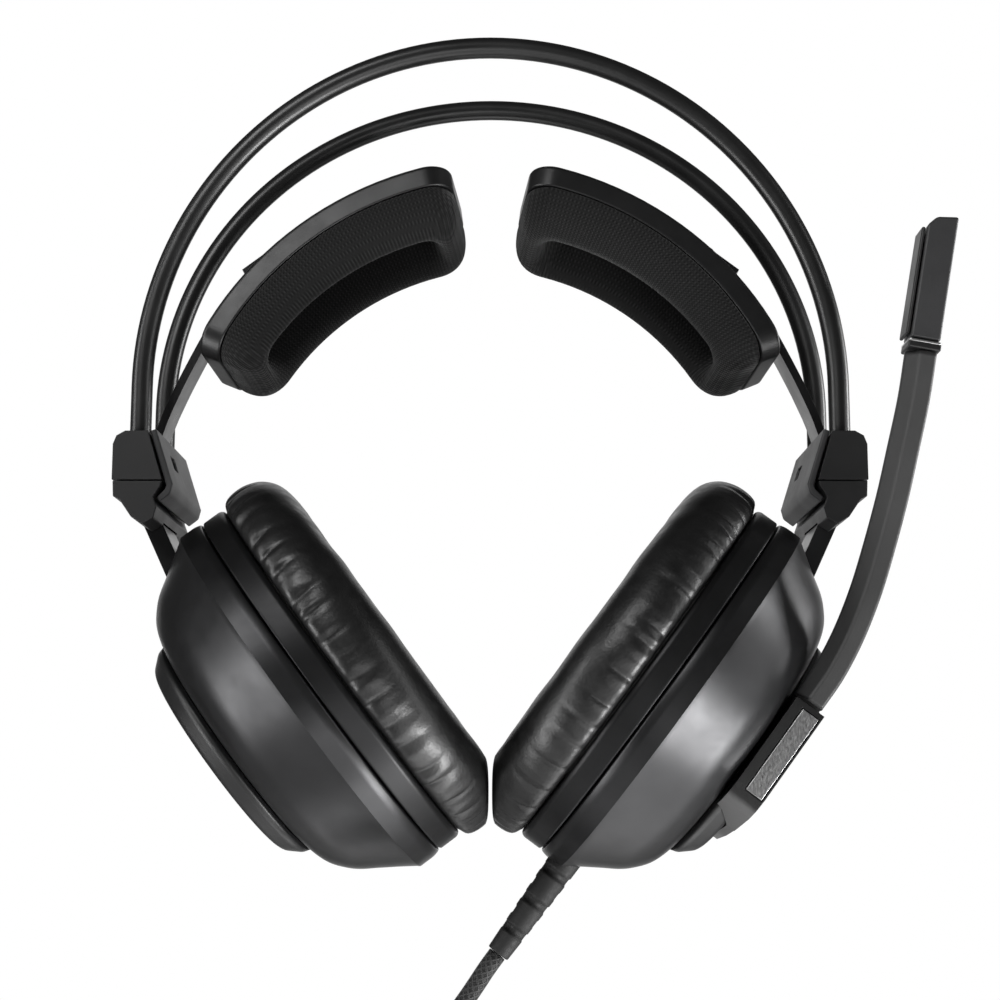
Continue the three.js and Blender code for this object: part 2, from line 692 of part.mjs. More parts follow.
function addMicrophone(cup) {
  const board = block(-14, 14, -38, -16, 13, 14.6);
  cup.add(mesh('circuit_board', board, BOARD_GREEN));
  cup.add(mesh('boom_base', boomBase(), MATTE_BLACK));
  cup.add(mesh('boom_plate', boomPlate(), SILVER));
  cup.add(mesh('boom', boom(), GREY_PLASTIC));
  cup.add(mesh('mic_collar', micCollar(), SILVER));
  cup.add(mesh('mic_housing', micHousing(), GREY_PLASTIC));
  cup.add(mesh('mic_element', micElement(), STEEL));
  cup.add(mesh('mic_cover', micCover(), MATTE_BLACK));
  cup.add(mesh('boom_retainer', turned([
    [4.4, 19.6], [7, 19.6], [7, 22.5], [4.4, 22.5]], 20), STEEL));
  cup.add(mesh('cord_relief', reliefTaper(), RUBBER));
}

function addCord(root) {
  root.add(mesh('cord_lead', cordLead(), RUBBER));
  root.add(mesh('cord_coil', cordCoil(), RUBBER));
  root.add(mesh('cord_tie', cordTie(), RUBBER));
  root.add(mesh('cord_tail', cordTail(), RUBBER));
  root.add(mesh('usb_plug_body', usbPlugBody(), MATTE_BLACK));
  root.add(mesh('usb_plug_shell', usbPlugShell(), STEEL));
}

const headset = new THREE.Group();
addHoops(headset);
for (const name of ['right', 'left']) {
  const side = new THREE.Group();
  side.rotation.z = name === 'left' ? Math.PI : 0;
  addHub(side, name);
  addWing(side, name, name === 'left' ? -WING_LEAN : WING_LEAN);
  const cup = addCup(side, name, name === 'right');
  if (name === 'right') addMicrophone(cup);
  else cup.add(mesh('left_ring_cap', ringCap(), SATIN_BLACK));
  headset.add(side);
}
addCord(headset);

export default headset;
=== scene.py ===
import math

import bmesh
import bpy
from mathutils import Matrix, Vector, noise


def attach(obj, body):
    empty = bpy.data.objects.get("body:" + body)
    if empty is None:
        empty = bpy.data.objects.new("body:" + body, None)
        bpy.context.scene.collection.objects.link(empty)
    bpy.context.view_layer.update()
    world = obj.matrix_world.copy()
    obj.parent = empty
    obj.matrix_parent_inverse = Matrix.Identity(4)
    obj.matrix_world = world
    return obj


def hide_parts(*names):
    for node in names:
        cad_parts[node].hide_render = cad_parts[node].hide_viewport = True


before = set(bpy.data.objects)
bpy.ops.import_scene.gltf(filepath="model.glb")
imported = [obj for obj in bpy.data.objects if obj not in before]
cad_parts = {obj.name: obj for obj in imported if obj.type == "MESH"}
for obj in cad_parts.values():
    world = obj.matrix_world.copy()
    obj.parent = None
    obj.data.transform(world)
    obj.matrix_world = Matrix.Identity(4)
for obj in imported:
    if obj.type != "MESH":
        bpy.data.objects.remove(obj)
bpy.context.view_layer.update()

MM = 0.001
TAU = 2 * math.pi

# ---- Layout, the same numbers as the CAD model's ----
HOOP_RADIUS = 85.9
HOOP_SPACING, HOOP_SPREAD = 32, 5.3
HOOP_TUBE = 2.6
HOOP_LEG = 21.5

WING_ARC_X, WING_ARC_Z, WING_ARC_R = -2.4, -24.5, 80.5
WING_FROM, WING_TO = 23.5, 82
WING_WIDTH = 32
WING_DEPTH = 5.8
WING_LEAN = 10
PIVOT_AT, PIVOT_RISE = 47, 4.2

CUP_CENTRE = (42, 0, -72.6)
CUP_LEAN = 36.6
TILT_PIN = (76.1, -49.3)

FACET_Y = -34.6
BOOM_WIDE = 7.8
BOOM_PATH = [(14.4, 29.2), (23, 29.1), (32.2, 27.9), (41.7, 25.7), (51, 22.8), (64.9, 17.8),
             (76.6, 13), (88.2, 8.1), (98.4, 3.1)]
BOOM_SECTION = [(-0.4, -3.9, 0.6), (1.2, -3.9, 0.5), (3.5, -1.6, 0.5), (3.5, 2.3, 0.4),
                (2.8, 3.1, 0.4), (-3.3, 3.1, 0.4), (-3.9, 2.6, 0.3), (-3.9, -1, 0.7)]

CORD_D = 4.5
CORD_STEP = 2.5
CORD_EASING = 12
RELIEF_TIP, RELIEF_A = 76, 6.5
COIL_X, COIL_Z = -18.6, -192.4
COIL_RADII = (30.6, 25.6, 20.6)
COIL_PITCH = 4.6
COIL_TURNS = 3.833
PLUG_X, PLUG_Y = COIL_X - 24, -16

SIDES = {"right": 1, "left": -1}

# ---- Studio: the floor's height, and how bright the room is around the white screen ----
FLOOR_Z = -620
ROOM_LIGHT = 0.06
SCREEN_EDGE = 0.91


# ---- Camera ----
def make_camera():
    data = bpy.data.cameras.new("camera")
    data.lens = 65.66
    data.sensor_width = 36
    camera = bpy.data.objects.new("camera", data)
    camera.location = (0.0024, -0.456, -0.099)
    camera.rotation_euler = (math.radians(90 + 9.126), 0, 0)
    bpy.context.scene.collection.objects.link(camera)
    bpy.context.scene.camera = camera


# ---- Frames of the moving parts ----
def side_turn(side):
    return Matrix.Rotation(0 if SIDES[side] > 0 else math.pi, 4, "Z")


def cup_matrix(side):
    lean = math.radians(CUP_LEAN)
    axes = Matrix((
        (0, math.sin(lean), math.cos(lean), CUP_CENTRE[0]),
        (1, 0, 0, CUP_CENTRE[1]),
        (0, math.cos(lean), -math.sin(lean), CUP_CENTRE[2]),
        (0, 0, 0, 1),
    ))
    return side_turn(side) @ axes


def wing_matrix(side):
    """The lean of a wing about its pivot, then the side's own turn."""
    pivot = wing_point(PIVOT_AT, PIVOT_RISE, 0)
    lean = math.radians(WING_LEAN * SIDES[side])
    turn = Matrix.Rotation(lean, 4, wing_tangent())
    return side_turn(side) @ Matrix.Translation(pivot) @ turn @ Matrix.Translation(-pivot)


def wing_point(angle, height, y):
    a = math.radians(angle)
    r = WING_ARC_R + height
    return Vector((WING_ARC_X + r * math.cos(a), y, WING_ARC_Z + r * math.sin(a)))


def wing_tangent():
    middle = math.radians((WING_FROM + WING_TO) / 2)
    return Vector((-math.sin(middle), 0, math.cos(middle)))


def pivot_matrix():
    x = wing_tangent()
    z = Vector((x.z, 0, -x.x))
    y = z.cross(x)
    place = Matrix((x, y, z)).transposed().to_4x4()
    place.translation = wing_point(PIVOT_AT, PIVOT_RISE, 0)
    return place


# ---- Mesh helpers ----
def add_mesh(name, points, faces, place=None, uvs=None):
    """A smooth mesh object from points in millimetres, put in place by a matrix."""
    place = place or Matrix.Identity(4)
    data = bpy.data.meshes.new(name)
    data.from_pydata([(place @ Vector(p)) * MM for p in points], [], faces)
    if uvs:
        layer = data.uv_layers.new(name="UVMap")
        flat = [uvs[v] for face in faces for v in face]
        for loop, uv in zip(layer.data, flat):
            loop.uv = uv
    data.polygons.foreach_set("use_smooth", [True] * len(data.polygons))
    data.validate()
    obj = bpy.data.objects.new(name, data)
    bpy.context.scene.collection.objects.link(obj)
    outward(obj)
    return obj


def outward(obj):
    bm = bmesh.new()
    bm.from_mesh(obj.data)
    bmesh.ops.recalc_face_normals(bm, faces=bm.faces)
    bm.to_mesh(obj.data)
    bm.free()


def finish_piece(obj, body, material, *nodes, slot=None):
    obj.data.materials.clear()
    obj.data.materials.append(material)
    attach(obj, body)
    if nodes:
        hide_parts(*nodes)
    return obj


def even_shading(obj):
    modifier = obj.modifiers.new("normals", "WEIGHTED_NORMAL")
    modifier.keep_sharp = True
    modifier.weight = 60


def catmull(points, per, closed=False):
    """Points on a smooth line through the given ones."""
    pts = [Vector(p) for p in points]
    n = len(pts)
    spans = n if closed else n - 1
    made = []
    for i in range(spans):
        if closed:
            p0, p1, p2, p3 = (pts[(i + k) % n] for k in (-1, 0, 1, 2))
        else:
            p1, p2 = pts[i], pts[i + 1]
            p0 = pts[i - 1] if i else p1 * 2 - p2
            p3 = pts[i + 2] if i + 2 < n else p2 * 2 - p1
        for k in range(per):
            t = k / per
            made.append(0.5 * (2 * p1 + (p2 - p0) * t + (2 * p0 - 5 * p1 + 4 * p2 - p3) * t * t
                               + (3 * p1 - p0 - 3 * p2 + p3) * t ** 3))
    if not closed:
        made.append(pts[-1])
    return made


def rounded(corners, steps=4, closed=True):
    """A polygon given as (x, y, radius) with each corner drawn as a small curve."""
    n = len(corners)
    made = []
    for i, (x, y, radius) in enumerate(corners):
        here = Vector((x, y))
        if radius <= 0 or (not closed and i in (0, n - 1)):
            made.append(here)
            continue
        before = Vector(corners[i - 1][:2]) - here
        after = Vector(corners[(i + 1) % n][:2]) - here
        reach = min(radius, before.length * 0.48, after.length * 0.48)
        a = here + before.normalized() * reach
        b = here + after.normalized() * reach
        for k in range(steps + 1):
            t = k / steps
            made.append(a * (1 - t) ** 2 + here * 2 * t * (1 - t) + b * t * t)
    return made


def revolve(name, outline, place, segments=144):
    """A ring or a disc from a closed outline of (radius, height), turned about local Z."""
    line = [(p[0], p[1]) for p in outline]
    on_axis = [i for i, p in enumerate(line) if p[0] < 1e-6]
    count = len(line)
    points, faces, index = [], [], {}
    for i, (r, z) in enumerate(line):
        if i in on_axis:
            index[i] = [len(points)] * segments
            points.append((0, 0, z))
            continue
        index[i] = list(range(len(points), len(points) + segments))
        for j in range(segments):
            a = TAU * j / segments
            points.append((r * math.cos(a), r * math.sin(a), z))
    for i in range(count):
        k = (i + 1) % count
        if i in on_axis and k in on_axis:
            continue
        for j in range(segments):
            m = (j + 1) % segments
            quad = [index[i][j], index[k][j], index[k][m], index[i][m]]
            faces.append(tuple(dict.fromkeys(quad)))
    return add_mesh(name, points, faces, place)


def loft(name, rings, place=None, closed_ends=True, uvs=None, loop=False):
    """A skin through rings of equal length."""
    count = len(rings[0])
    points = [p for ring in rings for p in ring]
    faces = []
    spans = len(rings) if loop else len(rings) - 1
    for i in range(spans):
        k = (i + 1) % len(rings)
        for j in range(count):
            m = (j + 1) % count
            faces.append((i * count + j, k * count + j, k * count + m, i * count + m))
    if closed_ends and not loop:
        last = (len(rings) - 1) * count
        faces.append(tuple(reversed(range(count))))
        faces.append(tuple(range(last, last + count)))
    return add_mesh(name, points, faces, place, uvs)


def tube(name, path, radius, around):
    """A round tube along a path, with UVs of turns round it and millimetres along it."""
    pts = [Vector(p) for p in path]
    normal = None
    rings, uvs, gone = [], [], 0.0
    for i, p in enumerate(pts):
        ahead = (pts[min(i + 1, len(pts) - 1)] - pts[max(i - 1, 0)]).normalized()
        if normal is None:
            other = Vector((0, 1, 0)) if abs(ahead.y) < 0.9 else Vector((1, 0, 0))
            normal = ahead.cross(other).normalized()
        normal = (normal - ahead * normal.dot(ahead)).normalized()
        binormal = ahead.cross(normal)
        if i:
            gone += (p - pts[i - 1]).length
        ring = []
        for j in range(around):
            a = TAU * j / around
            ring.append(p + (normal * math.cos(a) + binormal * math.sin(a)) * radius)
            uvs.append((j / around, gone))
        rings.append(ring)
    return loft(name, rings, uvs=uvs)


def prism(name, outline, start, end, place=None):
    """A flat outline of (y, z) carried along local X."""
    rings = [[(x, p[0], p[1]) for p in outline] for x in (start, end)]
    return loft(name, rings, place)


BEVEL_ANGLE = 32


def bevel(obj, width, segments=3):
    modifier = obj.modifiers.new("edges", "BEVEL")
    modifier.width = width * MM
    modifier.segments = segments
    modifier.limit_method = "ANGLE"
    modifier.angle_limit = math.radians(BEVEL_ANGLE)
    modifier.use_clamp_overlap = True
    modifier.miter_outer = "MITER_ARC"


def refined(node, body, material, width, slot=None, segments=3):
    """A CAD node's own shape with its flat facets joined and its edges rounded."""
    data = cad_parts[node].data.copy()
    bm = bmesh.new()
    bm.from_mesh(data)
    bmesh.ops.remove_doubles(bm, verts=bm.verts, dist=1e-6)
    bmesh.ops.dissolve_limit(bm, angle_limit=math.radians(1.5), verts=bm.verts, edges=bm.edges)
    bmesh.ops.recalc_face_normals(bm, faces=bm.faces)
    for face in bm.faces:
        face.smooth = True
    bm.to_mesh(data)
    bm.free()
    obj = bpy.data.objects.new(f"{node}_form", data)
    bpy.context.scene.collection.objects.link(obj)
    bevel(obj, width, segments)
    even_shading(obj)
    return finish_piece(obj, body, material, node, slot=slot)


def carve(obj, *cutters):
    """Takes the cutters' shapes out of a piece."""
    for cutter in cutters:
        modifier = obj.modifiers.new("cut", "BOOLEAN")
        modifier.operation = "DIFFERENCE"
        modifier.solver = "EXACT"
        modifier.object = cutter
    bpy.context.view_layer.update()
    graph = bpy.context.evaluated_depsgraph_get()
    data = bpy.data.meshes.new_from_object(obj.evaluated_get(graph))
    obj.modifiers.clear()
    obj.data = data
    for cutter in cutters:
        bpy.data.objects.remove(cutter)
    bm = bmesh.new()
    bm.from_mesh(data)
    for face in bm.faces:
        face.smooth = True
    for edge in bm.edges:
        edge.smooth = len(edge.link_faces) == 2 and edge.calc_face_angle() < math.radians(38)
    bm.to_mesh(data)
    bm.free()


# ---- Material helpers ----
class Shader:
    """A node material with a Principled shader at its end."""

    def __init__(self, name, colour, roughness, metallic=0.0, **sockets):
        self.material = bpy.data.materials.new(name)
        self.material.use_nodes = True
        self.tree = self.material.node_tree
        self.end = self.tree.nodes["Principled BSDF"]
        self.set("Base Color", (*colour, 1))
        self.set("Roughness", roughness)
        self.set("Metallic", metallic)
        for key, value in sockets.items():
            self.set(key.replace("_", " "), value)

    def set(self, socket, value):
        self.end.inputs[socket].default_value = value

    def node(self, kind, **settings):
        made = self.tree.nodes.new(kind)
        for key, value in settings.items():
            if hasattr(made, key):
                setattr(made, key, value)
            else:
                made.inputs[key].default_value = value
        return made

    def link(self, a, b):
        self.tree.links.new(a, b)

    def place(self, kind="Object", scale=(1000, 1000, 1000), turn=(0, 0, 0)):
        """Coordinates on the piece, in millimetres when taken from the object."""
        coordinates = self.node("ShaderNodeTexCoord")
        mapping = self.node("ShaderNodeMapping")
        mapping.inputs["Scale"].default_value = scale
        mapping.inputs["Rotation"].default_value = turn
        self.link(coordinates.outputs[kind], mapping.inputs["Vector"])
        return mapping.outputs["Vector"]

    def noise(self, where, scale, detail=3.0, rough=0.55):
        made = self.node("ShaderNodeTexNoise", Scale=scale, Detail=detail, Roughness=rough)
        self.link(where, made.inputs["Vector"])
        return made.outputs["Fac"]

    def cells(self, where, scale, feature="SMOOTH_F1"):
        made = self.node("ShaderNodeTexVoronoi", feature=feature, Scale=scale)
        self.link(where, made.inputs["Vector"])
        return made.outputs["Distance"]

    def math(self, operation, a, b=None):
        made = self.node("ShaderNodeMath", operation=operation)
        for socket, value in zip(made.inputs, (a, b)):
            if value is None:
                continue
            if isinstance(value, (int, float)):
                socket.default_value = value
            else:
                self.link(value, socket)
        return made.outputs[0]

    def parts(self, where):
        made = self.node("ShaderNodeSeparateXYZ")
        self.link(where, made.inputs[0])
        return made.outputs[0], made.outputs[1], made.outputs[2]

    def span(self, value, low, high, to_low, to_high):
        made = self.node("ShaderNodeMapRange")
        self.link(value, made.inputs["Value"])
        for socket, number in zip(("From Min", "From Max", "To Min", "To Max"),
                                  (low, high, to_low, to_high)):
            made.inputs[socket].default_value = number
        return made.outputs["Result"]

    def colour(self, value, *stops):
        """A colour ramp of (position, grey or colour) driven by a value."""
        ramp = self.node("ShaderNodeValToRGB")
        while len(ramp.color_ramp.elements) < len(stops):
            ramp.color_ramp.elements.new(0.5)
        for element, (at, shade) in zip(ramp.color_ramp.elements, stops):
            element.position = at
            shade = (shade,) * 3 if isinstance(shade, (int, float)) else shade
            element.color = (*shade, 1)
        self.link(value, ramp.inputs["Fac"])
        self.link(ramp.outputs["Color"], self.end.inputs["Base Color"])

    def roughness(self, value, low, high):
        self.link(self.span(value, 0.3, 0.7, low, high), self.end.inputs["Roughness"])

    def bump(self, *heights):
        """Bumps from (height value, depth in millimetres) pairs, one on the other."""
        normal = None
        for value, depth in heights:
            made = self.node("ShaderNodeBump", Strength=1.0, Distance=depth * MM)
            self.link(value, made.inputs["Height"])
            if normal:
                self.link(normal, made.inputs["Normal"])
            normal = made.outputs["Normal"]
        self.link(normal, self.end.inputs["Normal"])


def moulded(name, grey, roughness, grain=0.012, metallic=0.0, tint=(1, 1, 1.03), **sockets):
    """Moulded or painted plastic: fine grain, faint blotches in tone and gloss."""
    base = tuple(grey * t for t in tint)
    s = Shader(name, base, roughness, metallic, **sockets)
    where = s.place()
    broad = s.noise(where, 0.05, 4)
    fine = s.noise(where, 2.4, 2)
    s.colour(broad, (0.3, tuple(c * 0.85 for c in base)), (0.7, tuple(c * 1.15 for c in base)))
    s.roughness(s.noise(where, 0.11, 5, 0.7), roughness - 0.04, roughness + 0.05)
    s.bump((fine, grain))
    return s.material


def hoop_paint():
    s = Shader("hoop_paint", (0.009, 0.009, 0.0095), 0.34, 0.0, Specular_IOR_Level=0.6)
    where = s.place()
    s.colour(s.noise(where, 0.04, 4), (0.3, 0.007), (0.7, 0.011))
    s.roughness(s.noise(where, 0.08, 3, 0.5), 0.3, 0.38)
    s.bump((s.noise(where, 0.6, 2), 0.003))
    return s.material


def base_plastic():
    """Near-black, and a paler grey at the lower end of the boom's base."""
    s = Shader("base_plastic", (0.008, 0.008, 0.008), 0.4)
    where = s.place()
    lean = math.radians(CUP_LEAN)
    x, _, z = s.parts(where)
    up = s.math("ADD", s.math("MULTIPLY", x, math.sin(lean)),
                s.math("MULTIPLY", z, math.cos(lean)))
    up = s.math("ADD", up, s.math("MULTIPLY", s.noise(where, 0.3, 3), 1.0))
    s.colour(s.span(up, -47.9, -43.9, 0, 1), (0.3, 0.075), (0.6, 0.006))
    s.roughness(s.noise(where, 0.11, 5, 0.7), 0.36, 0.46)
    s.bump((s.noise(where, 2.4, 2), 0.01))
    return s.material


def leatherette():
    s = Shader("leatherette", (0.008, 0.008, 0.0085), 0.38, 0.0, Specular_IOR_Level=0.6)
    where = s.place()
    grain = s.cells(where, 1.5)
    pores = s.noise(where, 5.5, 2)
    s.colour(s.noise(where, 0.09, 4), (0.3, 0.005), (0.7, 0.01))
    s.roughness(s.noise(where, 0.35, 4, 0.65), 0.32, 0.46)
    s.bump((s.noise(where, 0.22, 3), 0.06), (grain, 0.03), (pores, 0.008))
    return s.material


def mesh_fabric(name="mesh_fabric", pitch=1.15):
    """Open spacer mesh: ribs across the pad with staggered eyelets, from UVs in millimetres. Its
    colour follows the bump's height: painted shade in the eyelets and between the ribs.
    """
    s = Shader(name, (0.012, 0.012, 0.013), 0.85, 0.0, Specular_IOR_Level=0.25,
               Sheen_Weight=0.12, Sheen_Roughness=0.45)
    where = s.place("UV", (1, 1, 1))
    u, v, _ = s.parts(where)
    ribs = s.math("SINE", s.math("MULTIPLY", u, TAU / pitch))
    rows = s.math("SINE", s.math("MULTIPLY", v, TAU / pitch))
    eyelets = s.math("MULTIPLY", ribs, rows)
    height = s.math("ADD", s.math("MULTIPLY", eyelets, 0.7), s.math("MULTIPLY", ribs, 0.5))
    level = s.span(height, -1.2, 1.2, 0, 1)
    # painted shade: darkest where the mesh lies low, in the eyelets and between the ribs, lighter
    # on the rib tops
    s.colour(level, (0.15, 0.002), (0.55, 0.008), (0.95, 0.02))
    s.bump((s.noise(s.place(), 0.25, 3), 0.25), (level, 0.22))
    return s.material


def brushed_silver():
    s = Shader("brushed_silver", (0.62, 0.62, 0.635), 0.32, 1.0)
    where = s.place(scale=(2600, 140, 900), turn=(0, math.radians(38), 0))
    lines = s.noise(where, 1.0, 5, 0.7)
    s.colour(lines, (0.3, 0.42), (0.5, 0.55), (0.72, 0.72))
    s.roughness(lines, 0.26, 0.42)
    s.bump((lines, 0.01))
    return s.material


def bare_steel():
    s = Shader("bare_steel", (0.5, 0.5, 0.52), 0.3, 1.0)
    where = s.place(scale=(700, 700, 90))
    turned = s.noise(where, 2.0, 4, 0.6)
    s.colour(turned, (0.3, 0.38), (0.7, 0.55))
    s.roughness(turned, 0.22, 0.4)
    s.bump((turned, 0.008))
    return s.material


def rubber():
    s = Shader("rubber", (0.012, 0.012, 0.0125), 0.62, 0.0, Specular_IOR_Level=0.4)
    where = s.place()
    s.colour(s.noise(where, 0.2, 4), (0.3, 0.009), (0.7, 0.016))
    s.roughness(s.noise(where, 0.8, 4), 0.55, 0.72)
    s.bump((s.noise(where, 3.0, 3), 0.02))
    return s.material


def braid():
    """A braided sleeve: two crossing sets of strands, from UVs round and along the cord. Its
    colour follows the strands' relief: painted shade in the gaps between them.
    """
    s = Shader("braid", (0.014, 0.014, 0.015), 0.6, 0.0, Specular_IOR_Level=0.45,
               Sheen_Weight=0.2, Sheen_Roughness=0.4)
    u, v, _ = s.parts(s.place("UV", (1, 1, 1)))
    around = s.math("MULTIPLY", u, TAU * 8)
    along = s.math("MULTIPLY", v, TAU / 1.9)
    left = s.math("SINE", s.math("ADD", around, along))
    right = s.math("SINE", s.math("SUBTRACT", around, along))
    strands = s.span(s.math("MAXIMUM", left, right), -0.2, 1, 0, 1)
    # painted shade: darkest in the gaps between the strands, lighter on the strand crowns
    s.colour(strands, (0.1, 0.004), (0.6, 0.016), (1.0, 0.036))
    s.bump((strands, 0.16), (s.noise(s.place(), 6, 2), 0.02))
    return s.material


def circuit_green():
    s = Shader("circuit_green", (0.02, 0.1, 0.04), 0.4)
    where = s.place()
    tracks = s.cells(where, 0.35, "F1")
    s.colour(tracks, (0.2, (0.02, 0.12, 0.05)), (0.5, (0.01, 0.06, 0.03)))
    s.bump((tracks, 0.05))
    return s.material


def thin_film():
    s = Shader("thin_film", (0.4, 0.38, 0.33), 0.35)
    where = s.place()
    s.colour(s.noise(where, 0.15, 3), (0.3, (0.34, 0.32, 0.27)), (0.7, (0.46, 0.44, 0.38)))
    s.bump((s.cells(where, 0.25), 0.2))
    return s.material


LOOKS = {
    "hoop": hoop_paint(),
    "shell": moulded("satin_shell", 0.042, 0.36, 0.003, 0.88),
    "band": moulded("satin_band", 0.022, 0.4, 0.003, 0.8),
    "dark": moulded("dark_plastic", 0.007, 0.42, 0.01),
    "hub": moulded("hub_plastic", 0.011, 0.46, 0.015),
    "cover": moulded("cover_plastic", 0.035, 0.5, 0.02),
    "tray": moulded("tray_plastic", 0.007, 0.38, 0.004, 0.0),
    "boom": moulded("boom_plastic", 0.05, 0.5, 0.015, tint=(1, 1, 1)),
    "capsule": moulded("capsule_plastic", 0.035, 0.45, 0.015),
    "arm": moulded("arm_paint", 0.016, 0.3, 0.004, 0.5),
    "plug": moulded("plug_plastic", 0.015, 0.5, 0.02),
    "base": base_plastic(),
    "leather": leatherette(),
    "mesh": mesh_fabric(),
    "cloth": mesh_fabric("speaker_cloth", 0.9),
    "silver": brushed_silver(),
    "steel": bare_steel(),
    "rubber": rubber(),
    "braid": braid(),
    "board": circuit_green(),
    "film": thin_film(),
}


# ---- Cord ----
def coil_point(phi, r, y):
    """A point on the coil, phi counted from its top towards -X."""
    return Vector((COIL_X - r * math.sin(phi), y, COIL_Z + r * math.cos(phi)))


def cord_route():
    """The whole cord in millimetres: out of the relief, three layers of turns, out to the plug."""
    cup = cup_matrix("right")
    lead = [cup @ Vector((0, -RELIEF_TIP - 0.3, RELIEF_A)),
            cup @ Vector((0, -RELIEF_TIP - 5, RELIEF_A)),
            Vector((-4.6, 0, -146.8)), Vector((-8.2, 0, -152)), Vector((-11, 0, -156.4))]
    half = COIL_PITCH * COIL_TURNS / 2
    start = math.radians(75)
    lead += [coil_point(math.radians(a), r, y) for a, r, y in
             ((0, 35.4, 1.8), (18, 35, 3.6), (34, 34.1, 5.8), (50, 32.6, 7.9))]
    turns = []
    phi = start
    for layer, r in enumerate(COIL_RADII):
        steps = round(COIL_TURNS * 24)
        way = 1 if layer % 2 == 0 else -1
        for i in range(steps + 1):
            share = i / steps
            y = way * (half - 2 * half * share)
            turns.append(coil_point(phi + TAU * COIL_TURNS * share, r, y))
        phi += TAU * COIL_TURNS
        if layer < 2:
            inner = COIL_RADII[layer + 1]
            for i in range(1, 6):
                mix = (1 - math.cos(math.pi * i / 6)) / 2
                turns.append(coil_point(phi + TAU / 4 * i / 6, r + (inner - r) * mix, -way * half))
            phi += TAU / 4
    tail = [coil_point(phi + math.radians(10), 21.6, -half - 2.2),
            Vector((PLUG_X + 0.2, -half - 4.6, COIL_Z + 4)),
            Vector((PLUG_X, -half - 5.1, COIL_Z - 2)),
            Vector((PLUG_X, PLUG_Y + 1, COIL_Z - 13)), Vector((PLUG_X, PLUG_Y, COIL_Z - 22))]
    return lead, turns, tail


def evenly(points, step):
    """The same line with its points a fixed step apart."""
    made, left = [points[0]], step
    for a, b in zip(points, points[1:]):
        gap = (b - a).length
        while gap > left:
            a = a + (b - a) * (left / gap)
            made.append(a)
            gap -= left
            left = step
        left -= gap
    return made + [points[-1]]


def eased(points, rounds, fixed=4):
    """Relaxes the sharp bends of a line and leaves both its ends straight."""
    pts = list(points)
    for _ in range(rounds):
        inside = [(pts[i - 1] + pts[i] * 2 + pts[i + 1]) / 4
                  for i in range(fixed, len(pts) - fixed)]
        pts = pts[:fixed] + inside + pts[-fixed:]
    return pts


def make_cord():
    lead, turns, tail = cord_route()
    fine = catmull(lead + turns[:1], 6)[:-1] + catmull(turns, 2)[:-1]
    fine += catmull(turns[-1:] + tail, 5)
    fine = eased(evenly(fine, CORD_STEP), CORD_EASING)
    cord = tube("cord", fine, CORD_D / 2, 14)
    finish_piece(cord, "right_cup", LOOKS["braid"], "cord_lead", "cord_coil", "cord_tail",
                 slot="black_braid")
    path = [p * MM for p in fine]
    return cord, path


def strap(name, outline, width, thickness):
    """A flat band round a closed outline of (y, z), its width along X."""
    rings = []
    count = len(outline)
    for i, p in enumerate(outline):
        along = (outline[(i + 1) % count] - outline[i - 1]).normalized()
        out = Vector((along.y, -along.x)) * thickness
        q = p + out
        half = width / 2
        rings.append([(-half, *p), (-half, *q), (half, *q), (half, *p)])
    place = Matrix.Translation((COIL_X, 0, COIL_Z))
    return loft(name, rings, place, closed_ends=False, loop=True)


def make_tie():
    """A hook-and-loop strap round the turns and over the cord that comes in on top of them."""
    half = COIL_PITCH * COIL_TURNS / 2 + CORD_D / 2 + 0.4
    line = [(-half, 17.6, 3), (half, 17.6, 3), (half, 35, 3), (half - 5, 38.4, 3),
            (-2.5, 38.4, 4), (-half + 2, 33.6, 5), (-half, 31, 3)]
    tie = strap("cord_strap", rounded(line, 5), 6.6, 1.1)
    bevel(tie, 0.3, 2)
    return finish_piece(tie, "right_cup", LOOKS["rubber"], "cord_tie", slot="black_rubber")


def make_plug():
    body = refined("usb_plug_body", "right_cup", LOOKS["plug"], 1.2, "matte_black_plastic")
    shell = refined("usb_plug_shell", "right_cup", LOOKS["steel"], 0.2, "bare_steel", 2)
    return [body, shell]


def make_relief():
    """The tapered rubber sleeve on the cord, cut into staggered segments."""
    def radius(z, a):
        share = (z - 46) / (RELIEF_TIP - 46)
        r = 3.9 - 1.05 * max(0, share) ** 1.3
        for k in range(5):
            gap = abs(z - 52.5 - 4.2 * k)
            side = math.cos(a - (0 if k % 2 else math.pi)) * 0.75 + 0.25
            if gap < 1.1 and side > 0:
                r -= 1.15 * min(1, side * 1.6) * (1 - (gap / 1.1) ** 4)
        return r

    heights = [40.8 + 0.35 * i for i in range(101)]
    heights = [z for z in heights if z < RELIEF_TIP]
    rings = []
    for z in heights:
        rings.append([(r * math.cos(a), -z, RELIEF_A + r * math.sin(a))
                      for a in (TAU * j / 40 for j in range(40)) for r in (radius(z, a),)])
    tip = [(r, RELIEF_TIP) for r in (2.7, 2.45)]
    for r, z in tip:
        rings.append([(r * math.cos(TAU * j / 40), -z, RELIEF_A + r * math.sin(TAU * j / 40))
                      for j in range(40)])
    sleeve = loft("cord_sleeve", rings, cup_matrix("right"))
    return finish_piece(sleeve, "right_cup", LOOKS["rubber"], "cord_relief", slot="black_rubber")


def make_cords():
    cord, path = make_cord()
    tie = make_tie()
    plug = make_plug()
    make_relief()


